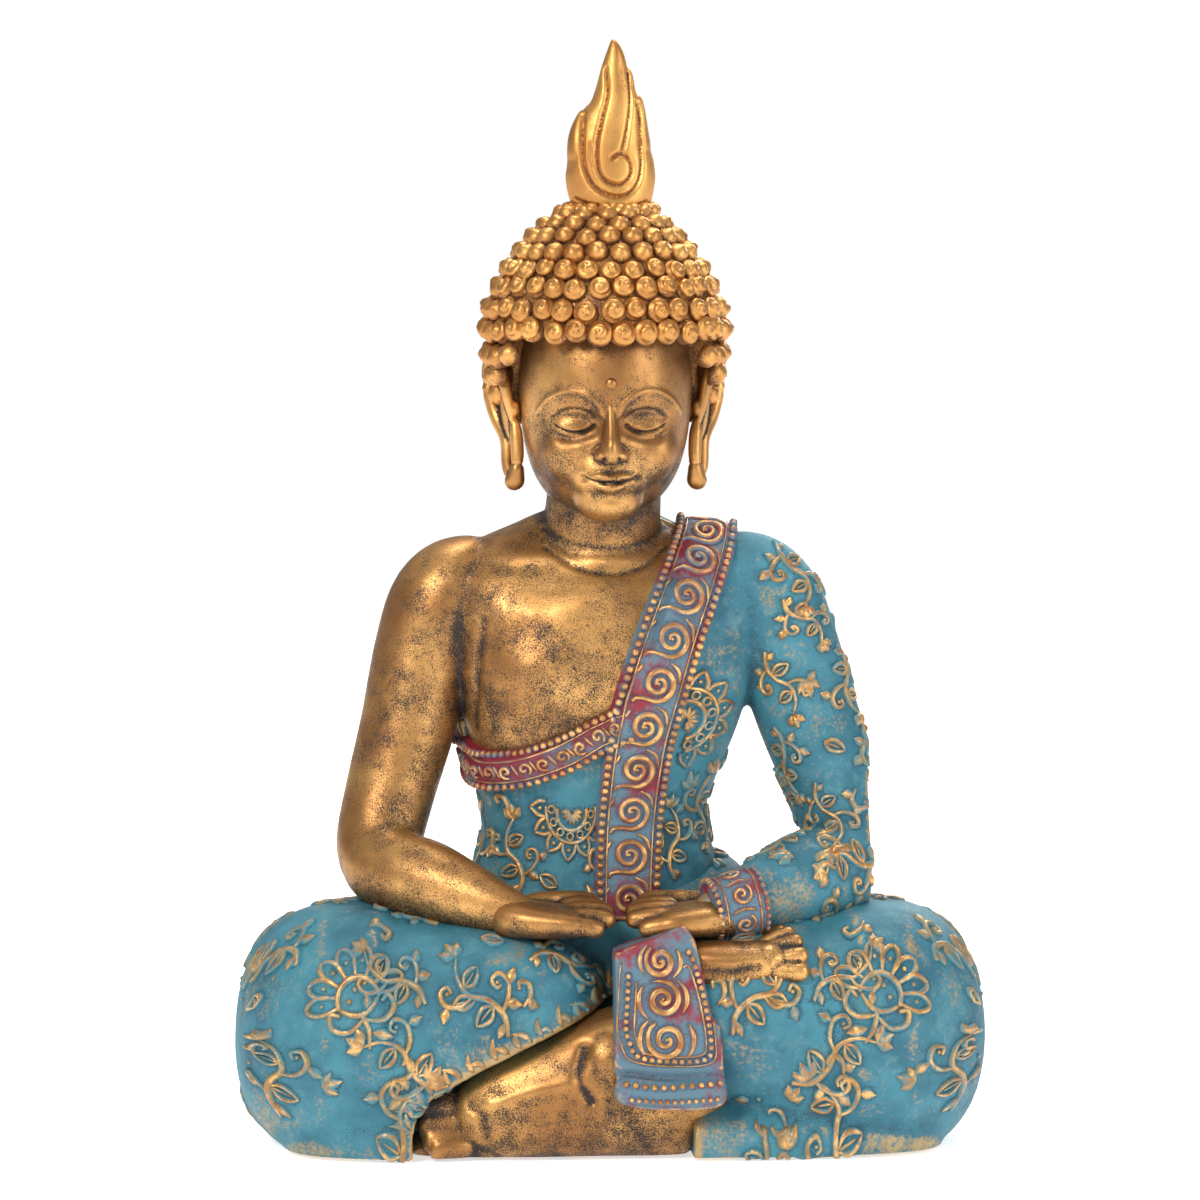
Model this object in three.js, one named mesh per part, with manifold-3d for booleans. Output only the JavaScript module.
// A seated meditating Buddha statue: a painted cast-resin figure with a flame finial, a curled
// hair cap, long ears, one bare shoulder and a patterned robe with a sash.
// Millimetres, +Z up, the figure faces -Y and +X is the figure's left-hand side.
// Every sculpted piece is its own closed solid. Neighbours overlap while they are shaped, and then
// the later one is cut back from the earlier one, with GAP left between them.
import * as THREE from "three";
import { mergeVertices } from "three/addons/utils/BufferGeometryUtils.js";
import Module from "manifold-3d";

const wasm = await Module();
wasm.setup();

// ---------------------------------------------------------------- driving dimensions
const GAP = 0.3; // between touching pieces
const PAD_THICK = 1; // felt pads under the statue
const PAD_RADIUS = 7;
const PLATE_THICK = 2.5; // the plate that closes the hollow from below
const PLATE_HALF_WIDTH = 44;
const PLATE_HALF_DEPTH = 27;
const WALL = 7; // resin around the hollow
const ROBE_THICK = 2; // robe over the torso
const SASH_THICK = 1.8; // sash over the robe
const HEM_THICK = 1.3; // beaded hem over the robe
const TAIL_THICK = 5; // end of the sash, in front of the shins

const KNEE_SPAN = 202; // knee to knee
const LEG_HEIGHT = 66; // top of the folded legs
const LEG_DEPTH_HALF = 36;
const LEG_Y = -9; // middle of the legs, front to back
const SHIN_HEIGHT = 40; // top of the bare left shin
const SEAT_Y = 12; // middle of the hips, front to back
const SPINE_X = -3; // the torso leans this far from the middle of the legs
const SPINE_Y = 9;
const WAIST_LIFT = 22; // waist above the legs
const WAIST_HALF = 30;
const WAIST_DEPTH_HALF = 22;
const TORSO_RISE = 60; // waist to shoulders
const CHEST_HALF = 41;
const CHEST_DEPTH_HALF = 25;
const SHOULDER_OUT = 4; // middle of the arm, beyond the side of the chest
const ARM_RADIUS = 13.5;
const ELBOW_LIFT = 14; // elbow above the legs
const ELBOW_HALF = 60;
const WRIST_DROP = 1; // wrist below the top of the legs
const HAND_Y = -33;
const HAND_MEET_X = 2; // where the fingertips meet
const NECK_HALF = 15.5;
const NECK_RISE = 23; // shoulders to chin
const FACE_HALF = 23.5; // half of the face's width
const FACE_DEPTH_HALF = 27;
const FACE_HEIGHT = 48; // chin to hairline
const HEAD_X = -1;
const HEAD_Y = 3;
const HAIR_THICK = 5.5; // cap and curls together
const HAIR_RISE = 34; // hairline to the flat top, where the flame stands
const KNOT_HALF = 13;
const FLAME_HEIGHT = 47;
const FLAME_HALF = 12.5;
const FLAME_DEPTH_HALF = 8;
const EAR_LENGTH = 38;
const PEG_RADIUS = 3; // peg under the flame, in a socket in the hair cap
const PEG_LENGTH = 8;

// Places that follow from them.
const SHOULDER_HALF = CHEST_HALF + SHOULDER_OUT;
const WAIST_Z = LEG_HEIGHT + WAIST_LIFT;
const SHOULDER_Z = WAIST_Z + TORSO_RISE;
const CHIN_Z = SHOULDER_Z + NECK_RISE;
const HAIRLINE_Z = CHIN_Z + FACE_HEIGHT;
const KNOT_Z = HAIRLINE_Z + HAIR_RISE;
const ELBOW_Z = LEG_HEIGHT + ELBOW_LIFT;
const WRIST_Z = LEG_HEIGHT - WRIST_DROP;
const NECK_BASE_Z = SHOULDER_Z + 10;

const FLOOR = PAD_THICK; // underside of the casting
const SEAM = V(0, 0, 1);

// ---------------------------------------------------------------- tools
function V(x, y, z) {
  return new THREE.Vector3(x, y, z);
}

// The geometry with only positions, and one vertex at each place.
function bare(geometry) {
  const plain = geometry.clone();
  plain.deleteAttribute("normal");
  plain.deleteAttribute("uv");
  return mergeVertices(plain, 1e-4);
}

function solid(geometry) {
  const merged = bare(geometry);
  return new wasm.Manifold(
    new wasm.Mesh({
      numProp: 3,
      vertProperties: Float32Array.from(merged.attributes.position.array),
      triVerts: Uint32Array.from(merged.index.array),
    }),
  );
}

// The same shape with its skin moved outwards by a distance.
function swell(geometry, distance) {
  const merged = bare(geometry);
  merged.computeVertexNormals();
  const place = merged.attributes.position;
  const normal = merged.attributes.normal;
  for (let i = 0; i < place.count; i++) {
    place.setXYZ(
      i,
      place.getX(i) + normal.getX(i) * distance,
      place.getY(i) + normal.getY(i) * distance,
      place.getZ(i) + normal.getZ(i) * distance,
    );
  }
  return merged;
}

// A rounded bar along a smooth curve. Each station is [x, y, z, half width, half height]; the ends
// close in a rounded nose, blunter with a larger `blunt`. `square` above 2 makes boxier sections.
function limb(stations, { sides = 20, rows = 16, blunt = 2.5, square = 2, up = SEAM } = {}) {
  const path = new THREE.CatmullRomCurve3(stations.map(([x, y, z]) => V(x, y, z)));
  const sizes = new THREE.CatmullRomCurve3(stations.map(([, , , w, h = w]) => V(w, h, 0)));
  const geometry = new THREE.CylinderGeometry(1, 1, 1, sides, rows);
  const place = geometry.attributes.position;
  const tidy = (c) => Math.round(c * 1e6) / 1e6; // both sides of the seam get the same place
  const boxed = (c) => Math.sign(c) * Math.abs(tidy(c)) ** (2 / square);
  for (let i = 0; i < place.count; i++) {
    const along = (1 - Math.cos(Math.PI * (place.getY(i) + 0.5))) / 2;
    const full = (1 - Math.abs(2 * along - 1) ** (2 * blunt)) ** (1 / 2) * 0.999 + 0.001;
    const forward = path.getTangent(along);
    const across = up.clone().cross(forward).normalize();
    const upright = across.clone().cross(forward);
    const size = sizes.getPoint(along).multiplyScalar(full);
    const point = path
      .getPoint(along)
      .addScaledVector(across, boxed(place.getX(i)) * size.x)
      .addScaledVector(upright, boxed(place.getZ(i)) * size.y);
    place.setXYZ(i, point.x, point.y, point.z);
  }
  return geometry;
}

// A limb whose stations are level slices: [z, x, y, half width, half depth].
function stack(slices, options = {}) {
  const stations = slices.map(([z, x, y, w, d]) => [x, y, z, w, d]);
  return limb(stations, { up: V(0, -1, 0), ...options });
}

// A prism: an outline of [x, z] points, run from front to back.
function prism(outline, front, back) {
  const shape = new THREE.Shape(outline.map(([x, z]) => new THREE.Vector2(x, z)));
  const geometry = new THREE.ExtrudeGeometry(shape, { depth: back - front, bevelEnabled: false });
  return geometry.rotateX(Math.PI / 2).translate(0, back, 0);
}

// A ribbon outline between two edges that run down the body, each a list of [x, z] points.
function ribbon(leftEdge, rightEdge, steps = 10) {
  const along = (edge) => new THREE.SplineCurve(edge.map(([x, z]) => new THREE.Vector2(x, z)));
  const left = along(leftEdge).getPoints(steps);
  const right = along(rightEdge).getPoints(steps).reverse();
  return [...left, ...right].map((p) => [p.x, p.y]);
}

const shift = (edge, by) => edge.map(([x, z]) => [x + by, z]);

function cutAway(body, ...others) {
  return others.reduce((left, other) => left.subtract(other), body);
}

const group = new THREE.Group();
const paint = {
  gold: { color: 0x9a6f3c, roughness: 0.4, metalness: 0.85 },
  brightGold: { color: 0xd09a4c, roughness: 0.42, metalness: 0.8 },
  turquoise: { color: 0x4f97a6, roughness: 0.6, metalness: 0.1 },
  crimson: { color: 0x8c5a60, roughness: 0.55, metalness: 0.3 },
  felt: { color: 0x2a2c2b, roughness: 0.95, metalness: 0 },
  resin: { color: 0xcfc8b8, roughness: 0.8, metalness: 0 },
};

function add(name, finish, body) {
  const made = body.getMesh();
  const geometry = new THREE.BufferGeometry()
    .setAttribute("position", new THREE.BufferAttribute(new Float32Array(made.vertProperties), 3))
    .setIndex(new THREE.BufferAttribute(new Uint32Array(made.triVerts), 1));
  const mesh = new THREE.Mesh(geometry, new THREE.MeshStandardMaterial(paint[finish]));
  mesh.name = name;
  group.add(mesh);
}

// ---------------------------------------------------------------- raw shapes, which still overlap
const HALF_SPAN = KNEE_SPAN / 2;
const LEG_MID = LEG_HEIGHT / 2;
const HEAD_MID_Z = (CHIN_Z + HAIRLINE_Z) / 2 + 4;

const raw = {};

raw.torso = stack(
  [
    [LEG_HEIGHT - 18, SPINE_X, SPINE_Y + 2, WAIST_HALF + 10, WAIST_DEPTH_HALF + 8],
    [LEG_HEIGHT + 4, SPINE_X, SPINE_Y + 1, WAIST_HALF + 4, WAIST_DEPTH_HALF + 3],
    [WAIST_Z, SPINE_X, SPINE_Y, WAIST_HALF, WAIST_DEPTH_HALF],
    [WAIST_Z + 20, SPINE_X, SPINE_Y, CHEST_HALF - 5, CHEST_DEPTH_HALF - 1],
    [SHOULDER_Z - 18, SPINE_X, SPINE_Y, CHEST_HALF, CHEST_DEPTH_HALF + 1],
    [SHOULDER_Z - 4, SPINE_X, SPINE_Y + 1, CHEST_HALF + 3, CHEST_DEPTH_HALF - 1],
    [SHOULDER_Z + 8, SPINE_X, SPINE_Y + 2, CHEST_HALF - 2, CHEST_DEPTH_HALF - 7],
    [SHOULDER_Z + 17, SPINE_X, SPINE_Y + 3, NECK_HALF + 7, NECK_HALF],
    [SHOULDER_Z + 22, SPINE_X, SPINE_Y + 2, NECK_HALF - 1, NECK_HALF - 1],
  ],
  { sides: 22, rows: 16, blunt: 6, square: 2.3 },
);

raw.hips = stack(
  [
    [-12, 0, SEAT_Y, 62, 38],
    [LEG_MID, 0, SEAT_Y, 60, 39],
    [LEG_HEIGHT, 0, SEAT_Y, 46, 30],
  ],
  { sides: 20, rows: 8, blunt: 3 },
);

// Thigh and shin folded together; the lowest part is cut off flat by the floor.
function legShape(side) {
  return limb(
    [
      [side * 2, -28, LEG_HEIGHT - 20, 17, 13],
      [side * (PLATE_HALF_WIDTH - 16), -19, LEG_HEIGHT - 29, LEG_DEPTH_HALF - 8, 26],
      [side * HALF_SPAN * 0.54, LEG_Y - 1, LEG_MID - 2, LEG_DEPTH_HALF + 2, LEG_MID + 2],
      [side * HALF_SPAN * 0.8, LEG_Y, LEG_MID - 2, LEG_DEPTH_HALF - 2, LEG_MID + 1.5],
      [side * HALF_SPAN, LEG_Y - 2, LEG_MID, LEG_DEPTH_HALF - 9, LEG_MID - 4],
    ],
    { sides: 20, rows: 14, blunt: 3.2, square: 2.4 },
  );
}
raw.rightLeg = legShape(-1);
raw.leftLeg = legShape(1);

const SHIN_MID = SHIN_HEIGHT / 2;
raw.leftShin = limb(
  [
    [32, -31, SHIN_MID - 5, 15, SHIN_MID - 4],
    [14, -32, SHIN_MID, 16, SHIN_MID],
    [-6, -32, SHIN_MID + 3, 15, SHIN_MID],
  ],
  { sides: 16, rows: 8 },
);
raw.leftFoot = limb(
  [
    [-4, -33, SHIN_MID + 1, 13, SHIN_MID - 2],
    [-22, -34, SHIN_MID - 5, 13, SHIN_MID - 6],
    [-40, -35, SHIN_MID - 10, 11, SHIN_MID - 10],
    [-54, -36, SHIN_MID - 14, 8, SHIN_MID - 13],
  ],
  { sides: 16, rows: 10 },
);
raw.rightFoot = limb(
  [
    [14, -37, LEG_HEIGHT - 14, 9, 7],
    [33, -38, LEG_HEIGHT - 13, 9, 7.5],
    [53, -34, LEG_HEIGHT - 10, 8, 7],
  ],
  { sides: 14, rows: 8 },
);

function upperArm(side, radius) {
  return limb(
    [
      [SPINE_X + side * (SHOULDER_HALF - 6), SPINE_Y, SHOULDER_Z + 6, radius],
      [SPINE_X + side * SHOULDER_HALF, SPINE_Y - 1, SHOULDER_Z - 10, radius + 1],
      [side * (SHOULDER_HALF + ELBOW_HALF) * 0.52, SPINE_Y - 4, (SHOULDER_Z + ELBOW_Z) / 2, radius],
      [side * ELBOW_HALF, SPINE_Y - 8, ELBOW_Z + 2, radius - 1],
    ],
    { sides: 16, rows: 10, blunt: 3 },
  );
}
raw.rightUpperArm = upperArm(-1, ARM_RADIUS);
raw.leftUpperSleeve = upperArm(1, ARM_RADIUS + 0.6);

raw.rightForearm = limb(
  [
    [-ELBOW_HALF - 3, SPINE_Y - 7, ELBOW_Z, ARM_RADIUS - 2.5],
    [-ELBOW_HALF * 0.8, SPINE_Y - 21, (ELBOW_Z + WRIST_Z) / 2 - 1, 10],
    [-ELBOW_HALF * 0.42, HAND_Y + 2, WRIST_Z, 7.2, 5.6],
  ],
  { sides: 14, rows: 9 },
);
raw.leftForearmSleeve = limb(
  [
    [ELBOW_HALF + 2, SPINE_Y - 7, ELBOW_Z, ARM_RADIUS - 1.5],
    [ELBOW_HALF * 0.83, SPINE_Y - 21, (ELBOW_Z + WRIST_Z) / 2, 11.5],
    [ELBOW_HALF * 0.55, HAND_Y + 4, WRIST_Z + 2.5, 9.5, 8.6],
  ],
  { sides: 14, rows: 9 },
);
raw.leftCuff = limb(
  [
    [ELBOW_HALF * 0.62, HAND_Y + 5, WRIST_Z + 3.2, 10.5, 9.6],
    [ELBOW_HALF * 0.42, HAND_Y + 1, WRIST_Z + 1.6, 10.5, 9.6],
  ],
  { sides: 16, rows: 6, blunt: 6 },
);

// A palm with its fingers, lying flat and pointing to the middle.
function hand(side, wristX) {
  const reach = wristX - HAND_MEET_X * side;
  return limb(
    [
      [HAND_MEET_X + side * (reach * 1.02), HAND_Y + 2, WRIST_Z, 7, 5.4],
      [HAND_MEET_X + side * reach * 0.6, HAND_Y, WRIST_Z - 1.5, 12, 5.4],
      [HAND_MEET_X + side * 0.4, HAND_Y, WRIST_Z - 2.5, 11.5, 4.4],
    ],
    { sides: 14, rows: 8, blunt: 5, square: 2.6 },
  );
}
raw.rightHand = hand(-1, ELBOW_HALF * 0.42);
raw.leftHand = hand(1, ELBOW_HALF * 0.44);

raw.neck = stack(
  [
    [NECK_BASE_Z - 6, SPINE_X, SPINE_Y, NECK_HALF + 3, NECK_HALF + 3],
    [NECK_BASE_Z + 8, SPINE_X, SPINE_Y - 1, NECK_HALF + 1, NECK_HALF + 1],
    [CHIN_Z + 4, SPINE_X + 1, SPINE_Y - 2, NECK_HALF, NECK_HALF],
    [CHIN_Z + 18, SPINE_X + 1.5, SPINE_Y - 3, NECK_HALF, NECK_HALF],
  ],
  { sides: 16, rows: 6, blunt: 6 },
);

raw.head = stack(
  [
    [CHIN_Z, HEAD_X, HEAD_Y - 6, 10, 15],
    [CHIN_Z + 12, HEAD_X, HEAD_Y - 3, FACE_HALF - 3, FACE_DEPTH_HALF - 3],
    [HEAD_MID_Z - 4, HEAD_X, HEAD_Y, FACE_HALF, FACE_DEPTH_HALF],
    [HAIRLINE_Z - 4, HEAD_X, HEAD_Y + 1, FACE_HALF, FACE_DEPTH_HALF],
    [HAIRLINE_Z + 14, HEAD_X, HEAD_Y + 3, FACE_HALF - 4, FACE_DEPTH_HALF - 3],
  ],
  { sides: 20, rows: 14, blunt: 1.6, square: 2.15 },
);

raw.hair = stack(
  [
    [CHIN_Z + 18, HEAD_X, HEAD_Y + 6, FACE_HALF + 4, FACE_DEPTH_HALF],
    [HAIRLINE_Z - 20, HEAD_X, HEAD_Y + 4, FACE_HALF + HAIR_THICK + 3, FACE_DEPTH_HALF + 2],
    [HAIRLINE_Z, HEAD_X, HEAD_Y + 2, FACE_HALF + HAIR_THICK + 5.5, FACE_DEPTH_HALF + HAIR_THICK],
    [HAIRLINE_Z + 16, HEAD_X, HEAD_Y + 3, FACE_HALF + HAIR_THICK, FACE_DEPTH_HALF + 2],
    [KNOT_Z - 8, HEAD_X, HEAD_Y + 4, KNOT_HALF + 8, KNOT_HALF + 9],
    [KNOT_Z, HEAD_X, HEAD_Y + 4, KNOT_HALF + 1, KNOT_HALF + 1],
  ],
  { sides: 22, rows: 14, blunt: 5 },
);

raw.flame = stack(
  [
    [KNOT_Z - 3, HEAD_X, HEAD_Y + 4, FLAME_HALF - 3, FLAME_DEPTH_HALF - 1],
    [KNOT_Z + FLAME_HEIGHT * 0.24, HEAD_X, HEAD_Y + 4, FLAME_HALF, FLAME_DEPTH_HALF],
    [KNOT_Z + FLAME_HEIGHT * 0.5, HEAD_X + 0.8, HEAD_Y + 4, FLAME_HALF - 1.5, FLAME_DEPTH_HALF - 2],
    [KNOT_Z + FLAME_HEIGHT * 0.8, HEAD_X + 2.5, HEAD_Y + 4, FLAME_HALF * 0.5, FLAME_DEPTH_HALF * 0.4],
    [KNOT_Z + FLAME_HEIGHT, HEAD_X + 2.6, HEAD_Y + 4, 1.5, 1.2],
  ],
  { sides: 14, rows: 14, blunt: 8 },
);

function earShape(side) {
  const top = CHIN_Z + 7 + EAR_LENGTH;
  const x = HEAD_X + side * (FACE_HALF + 3);
  return limb(
    [
      [x + side * 1.5, HEAD_Y + 1, top, 2.6, 6],
      [x + side * 2.2, HEAD_Y + 2, top - EAR_LENGTH * 0.3, 2.8, 6.5],
      [x, HEAD_Y - 1, top - EAR_LENGTH * 0.62, 2.4, 3.6],
      [x - side * 0.6, HEAD_Y - 3, top - EAR_LENGTH, 3.2, 4.6],
    ],
    { sides: 12, rows: 10, up: V(0, -1, 0) },
  );
}
raw.rightEar = earShape(-1);
raw.leftEar = earShape(1);

raw.sashTail = limb(
  [
    [12, HAND_Y - 12, WRIST_Z + 1, 9, TAIL_THICK / 2],
    [11, HAND_Y - 14, WRIST_Z - 8, 11.5, TAIL_THICK / 2],
    [13.5, HAND_Y - 17, WRIST_Z - 24, 13.5, TAIL_THICK / 2],
    [15, HAND_Y - 19, WRIST_Z - 42, 15.5, TAIL_THICK / 2],
    [15.5, HAND_Y - 19, WRIST_Z - 50, 16, TAIL_THICK / 2],
  ],
  { sides: 16, rows: 10, blunt: 12, square: 5, up: V(0, -1, 1) },
);

// ---------------------------------------------------------------- cutting lines, in the front view
// The robe leaves the figure's right shoulder and upper chest bare.
const hemTop = [
  [-60, WAIST_Z + 14],
  [-34, WAIST_Z + 20],
  [-18, WAIST_Z + 24],
  [-2, WAIST_Z + 31],
];
const sashLeft = [
  [19, SHOULDER_Z + 30],
  [12, SHOULDER_Z + 3],
  [1, SHOULDER_Z - 22],
  [-3, WAIST_Z + 20],
  [-4, WAIST_Z - 20],
];
const sashRight = [
  [38, SHOULDER_Z + 30],
  [31, SHOULDER_Z + 3],
  [22, SHOULDER_Z - 22],
  [17, WAIST_Z + 14],
  [14, WAIST_Z - 20],
];
const robeFront = [...hemTop, [1, SHOULDER_Z - 22], [12, SHOULDER_Z + 3], [19, 200], [70, 200], [70, 0], [-70, 0]];
const robeBack = [[-60, WAIST_Z + 22], [-30, WAIST_Z + 30], [10, SHOULDER_Z + 14], [19, 200], [70, 200], [70, 0], [-60, 0]];
const hemBand = [
  ...hemTop.map(([x, z]) => [x, z + 0.8]),
  ...hemTop.map(([x, z]) => [x - 1.5, z - 10]).reverse(),
];
const sashBackLeft = [
  [19, SHOULDER_Z + 30],
  [16, SHOULDER_Z - 4],
  [14, WAIST_Z + 8],
];
const sashBackRight = [
  [38, SHOULDER_Z + 30],
  [35, SHOULDER_Z - 4],
  [33, WAIST_Z + 8],
];
// The right leg's robe ends on this line, and the left foot shows below it.
const hemOverFoot = [
  [2, SHIN_HEIGHT + 3],
  [-22, SHIN_HEIGHT - 7],
  [-40, SHIN_HEIGHT - 16],
  [-53, SHIN_HEIGHT - 24],
  [-55, -20],
  [30, -20],
  [30, SHIN_HEIGHT + 3],
];

// ---------------------------------------------------------------- pieces
const box = (x0, x1, y0, y1, z0, z1) =>
  solid(new THREE.BoxGeometry(x1 - x0, y1 - y0, z1 - z0).translate((x0 + x1) / 2, (y0 + y1) / 2, (z0 + z1) / 2));
const FAR = 200;
const below = (z) => box(-FAR, FAR, -FAR, FAR, -FAR, z);
const above = (z) => box(-FAR, FAR, -FAR, FAR, z, 2 * FAR);

const whole = (name) => solid(raw[name]);
const grown = (name, by = GAP) => solid(swell(raw[name], by));
const onFloor = (name) => cutAway(whole(name), below(FLOOR));

const SEAT_JOINT_Z = LEG_HEIGHT - 12; // the torso stands on the hips here

// The casting is hollow from below, up to the seat of the torso.
const hollow = solid(
  stack(
    [
      [FLOOR - 8, 0, SEAT_Y, PLATE_HALF_WIDTH - 4, PLATE_HALF_DEPTH - 4],
      [LEG_MID - 10, 0, SEAT_Y, PLATE_HALF_WIDTH - 5, PLATE_HALF_DEPTH - 5],
      [SEAT_JOINT_Z - WALL, 0, SEAT_Y, PLATE_HALF_WIDTH - 8, PLATE_HALF_DEPTH - 7],
    ],
    { sides: 20, rows: 8, blunt: 6 },
  ),
);

function plate(clearance) {
  return new THREE.CylinderGeometry(1, 1, 2 * PLATE_THICK, 32)
    .rotateX(Math.PI / 2)
    .scale(PLATE_HALF_WIDTH + clearance, PLATE_HALF_DEPTH + clearance, 1)
    .translate(0, SEAT_Y, FLOOR + clearance);
}

const inside = [hollow, solid(plate(GAP))];
const robeInside = GAP;
const robeOutside = robeInside + ROBE_THICK;
const overRobe = robeOutside + GAP;
const front = (outline) => solid(prism(outline, -FAR, SPINE_Y));
const back = (outline) => solid(prism(outline, SPINE_Y, FAR));
const aboveJoint = (body) => cutAway(body, below(SEAT_JOINT_Z));

const arms = [grown("rightUpperArm"), grown("rightForearm")];
const robeSpace = front(robeFront).add(back(robeBack));
const sashSpace = (margin) =>
  front(ribbon(shift(sashLeft, -margin), shift(sashRight, margin))).add(
    back(ribbon(shift(sashBackLeft, -margin), shift(sashBackRight, margin))),
  );

add("hips", "turquoise", cutAway(
  onFloor("hips"), above(SEAT_JOINT_Z - GAP), grown("rightLeg"), grown("leftLeg"),
  grown("leftShin"), grown("leftFoot"), ...inside,
));
add("base_plate", "resin", cutAway(solid(plate(0)), below(FLOOR)));
add("torso", "gold", aboveJoint(cutAway(whole("torso"), grown("neck"))));
add("neck", "gold", cutAway(whole("neck"), grown("head")));
add("head", "gold", whole("head"));

const robe = aboveJoint(cutAway(grown("torso", robeOutside).intersect(robeSpace), grown("torso", robeInside)));
add("robe", "turquoise", cutAway(robe, grown("neck"), ...arms));
const sash = cutAway(grown("torso", overRobe + SASH_THICK).intersect(sashSpace(0)), grown("torso", overRobe));
add("shoulder_sash", "crimson", cutAway(sash, grown("neck")));
const hem = cutAway(grown("torso", overRobe + HEM_THICK).intersect(front(hemBand)), grown("torso", overRobe));
add("chest_hem", "crimson", cutAway(hem, sashSpace(GAP), ...arms));

add("right_upper_arm", "gold", cutAway(whole("rightUpperArm"), grown("torso")));
add("right_forearm", "gold", cutAway(whole("rightForearm"), grown("rightUpperArm")));
add("right_hand", "gold", cutAway(whole("rightHand"), grown("rightForearm"), grown("torso", overRobe + SASH_THICK + GAP)));
add("left_upper_sleeve", "turquoise", cutAway(
  whole("leftUpperSleeve"), grown("torso", overRobe),
  grown("torso", overRobe + SASH_THICK + GAP).intersect(sashSpace(GAP)),
));
add("left_cuff", "crimson", whole("leftCuff"));
add("left_forearm_sleeve", "turquoise", cutAway(whole("leftForearmSleeve"), grown("leftUpperSleeve"), grown("leftCuff")));
add("left_hand", "gold", cutAway(
  whole("leftHand"), grown("leftCuff"), grown("rightHand"), grown("torso", overRobe + SASH_THICK + GAP),
));

add("sash_tail", "crimson", cutAway(whole("sashTail"), grown("leftHand"), grown("rightHand")));
const onTop = [
  ...arms, grown("rightHand"), grown("leftHand"), grown("leftCuff"), grown("leftForearmSleeve"),
  grown("leftUpperSleeve"), grown("sashTail"), grown("torso", overRobe + SASH_THICK + GAP),
];
add("left_shin", "gold", cutAway(onFloor("leftShin"), grown("sashTail")));
add("left_foot", "gold", cutAway(onFloor("leftFoot"), grown("leftShin"), grown("sashTail")));
add("right_foot", "gold", cutAway(whole("rightFoot"), ...onTop));
const belowHem = solid(prism(hemOverFoot, -FAR, FAR));
add("right_leg", "turquoise", cutAway(
  onFloor("rightLeg"), belowHem, grown("leftShin"), grown("leftFoot"), grown("rightFoot"), ...onTop, ...inside,
));
add("left_leg", "turquoise", cutAway(
  onFloor("leftLeg"), grown("rightLeg"), grown("leftShin"), grown("leftFoot"), grown("rightFoot"), ...onTop, ...inside,
));

// The cap covers the skull and the nape, and leaves the face and ears free.
const faceOpening = solid(
  prism(
    [
      [-60, NECK_BASE_Z],
      [-60, HAIRLINE_Z - 9],
      [HEAD_X - FACE_HALF, HAIRLINE_Z - 7],
      [HEAD_X - FACE_HALF + 6, HAIRLINE_Z - 1],
      [HEAD_X, HAIRLINE_Z],
      [HEAD_X + FACE_HALF - 6, HAIRLINE_Z - 1],
      [HEAD_X + FACE_HALF, HAIRLINE_Z - 7],
      [60, HAIRLINE_Z - 9],
      [60, NECK_BASE_Z],
    ],
    -FAR,
    HEAD_Y - 2,
  ),
);
const peg = (radius, length) =>
  solid(
    new THREE.CylinderGeometry(radius, radius, 2 * length, 16)
      .rotateX(Math.PI / 2)
      .translate(HEAD_X, HEAD_Y + 4, KNOT_Z),
  );
for (const side of ["right", "left"]) {
  add(side + "_ear", "gold", cutAway(whole(side + "Ear"), grown("head"), grown("neck")));
}
add("hair_cap", "brightGold", cutAway(
  whole("hair"), above(KNOT_Z - GAP), grown("head"), grown("neck"), grown("rightEar"), grown("leftEar"),
  faceOpening, peg(PEG_RADIUS + GAP, PEG_LENGTH + GAP),
));
add("flame_finial", "brightGold", cutAway(whole("flame"), below(KNOT_Z)).add(peg(PEG_RADIUS, PEG_LENGTH)));

const pads = {
  front_right: [-HALF_SPAN * 0.62, LEG_Y - 3],
  front_left: [HALF_SPAN * 0.62, LEG_Y - 3],
  back_right: [-PLATE_HALF_WIDTH * 0.6, SEAT_Y + PLATE_HALF_DEPTH * 0.6],
  back_left: [PLATE_HALF_WIDTH * 0.6, SEAT_Y + PLATE_HALF_DEPTH * 0.6],
};
for (const [name, [x, y]] of Object.entries(pads)) {
  const disc = new THREE.CylinderGeometry(PAD_RADIUS, PAD_RADIUS, PAD_THICK, 16).rotateX(Math.PI / 2);
  add("felt_pad_" + name, "felt", solid(disc.translate(x, y, PAD_THICK / 2)));
}

// The origin is the middle of the underside.
const box3 = new THREE.Box3().setFromObject(group);
group.position.set(-(box3.min.x + box3.max.x) / 2, -(box3.min.y + box3.max.y) / 2, 0);

export default group;
